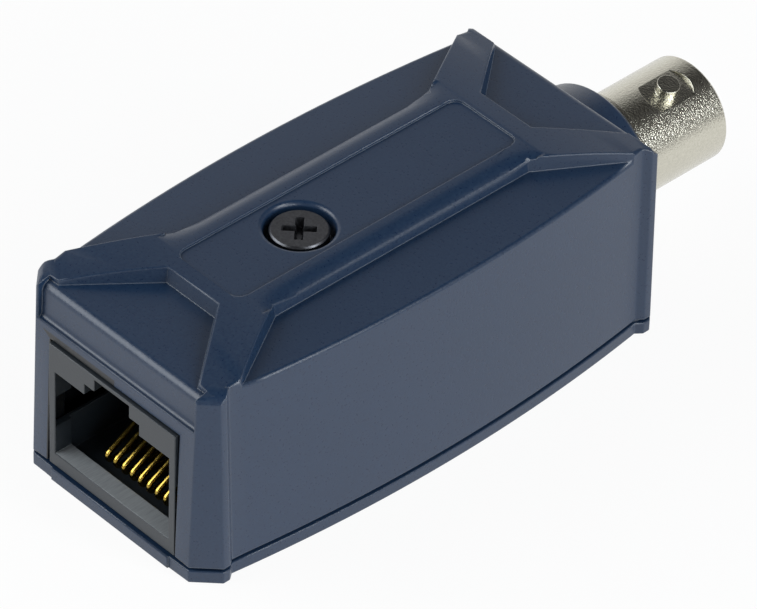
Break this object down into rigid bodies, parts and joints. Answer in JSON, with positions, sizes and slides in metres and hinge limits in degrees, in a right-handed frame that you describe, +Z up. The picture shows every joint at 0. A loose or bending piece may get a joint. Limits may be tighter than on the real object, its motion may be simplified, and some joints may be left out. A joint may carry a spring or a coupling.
{
  "type": "ethernet extender",
  "caption": "Small in-line network extender: tapered navy plastic housing with a raised cross on top, a modular network jack in one end and a coaxial bayonet connector in the other.",
  "frame": {"origin": "under the middle of the whole part's box, on the flat underside of the base cover", "axes": "+Z up through the roof, -Y out of the modular jack, +Y out of the coaxial connector, +X to the right when the jack is seen from the front"},
  "size_m": [0.0252, 0.0656, 0.0204],
  "materials": {
    "housing_plastic": "fine moulded texture",
    "screw_steel": "black oxide",
    "board_laminate": "solder mask",
    "jack_plastic": "fine moulded texture",
    "connector_nickel": "satin nickel plate",
    "insulator_plastic": "satin",
    "contact_gold": "gold plate",
    "hardware_nickel": "nickel plate",
    "lead_wire": "tinned copper",
    "coil_plastic": "moulded epoxy",
    "chip_ceramic": "fired ceramic"
  },
  "bodies": {
    "root": {"upper_shell": "housing_plastic", "base_cover": "housing_plastic", "cover_screw": "screw_steel", "circuit_board": "board_laminate", "jack_housing": "jack_plastic", "contact_carrier": "jack_plastic", "bnc_shell": "connector_nickel", "bnc_insulator": "insulator_plastic", "bnc_center_contact": "contact_gold", "lock_washer": "hardware_nickel", "solder_tag": "hardware_nickel", "coax_nut": "hardware_nickel", "signal_lead": "lead_wire", "ground_lead": "lead_wire", "coupling_transformer": "coil_plastic", "capacitor_1": "chip_ceramic", "capacitor_2": "chip_ceramic", "surge_arrester": "chip_ceramic", "jack_contact_1": "contact_gold", "jack_contact_2": "contact_gold", "jack_contact_3": "contact_gold", "jack_contact_4": "contact_gold", "jack_contact_5": "contact_gold", "jack_contact_6": "contact_gold", "jack_contact_7": "contact_gold", "jack_contact_8": "contact_gold"}
  },
  "joints": []
}
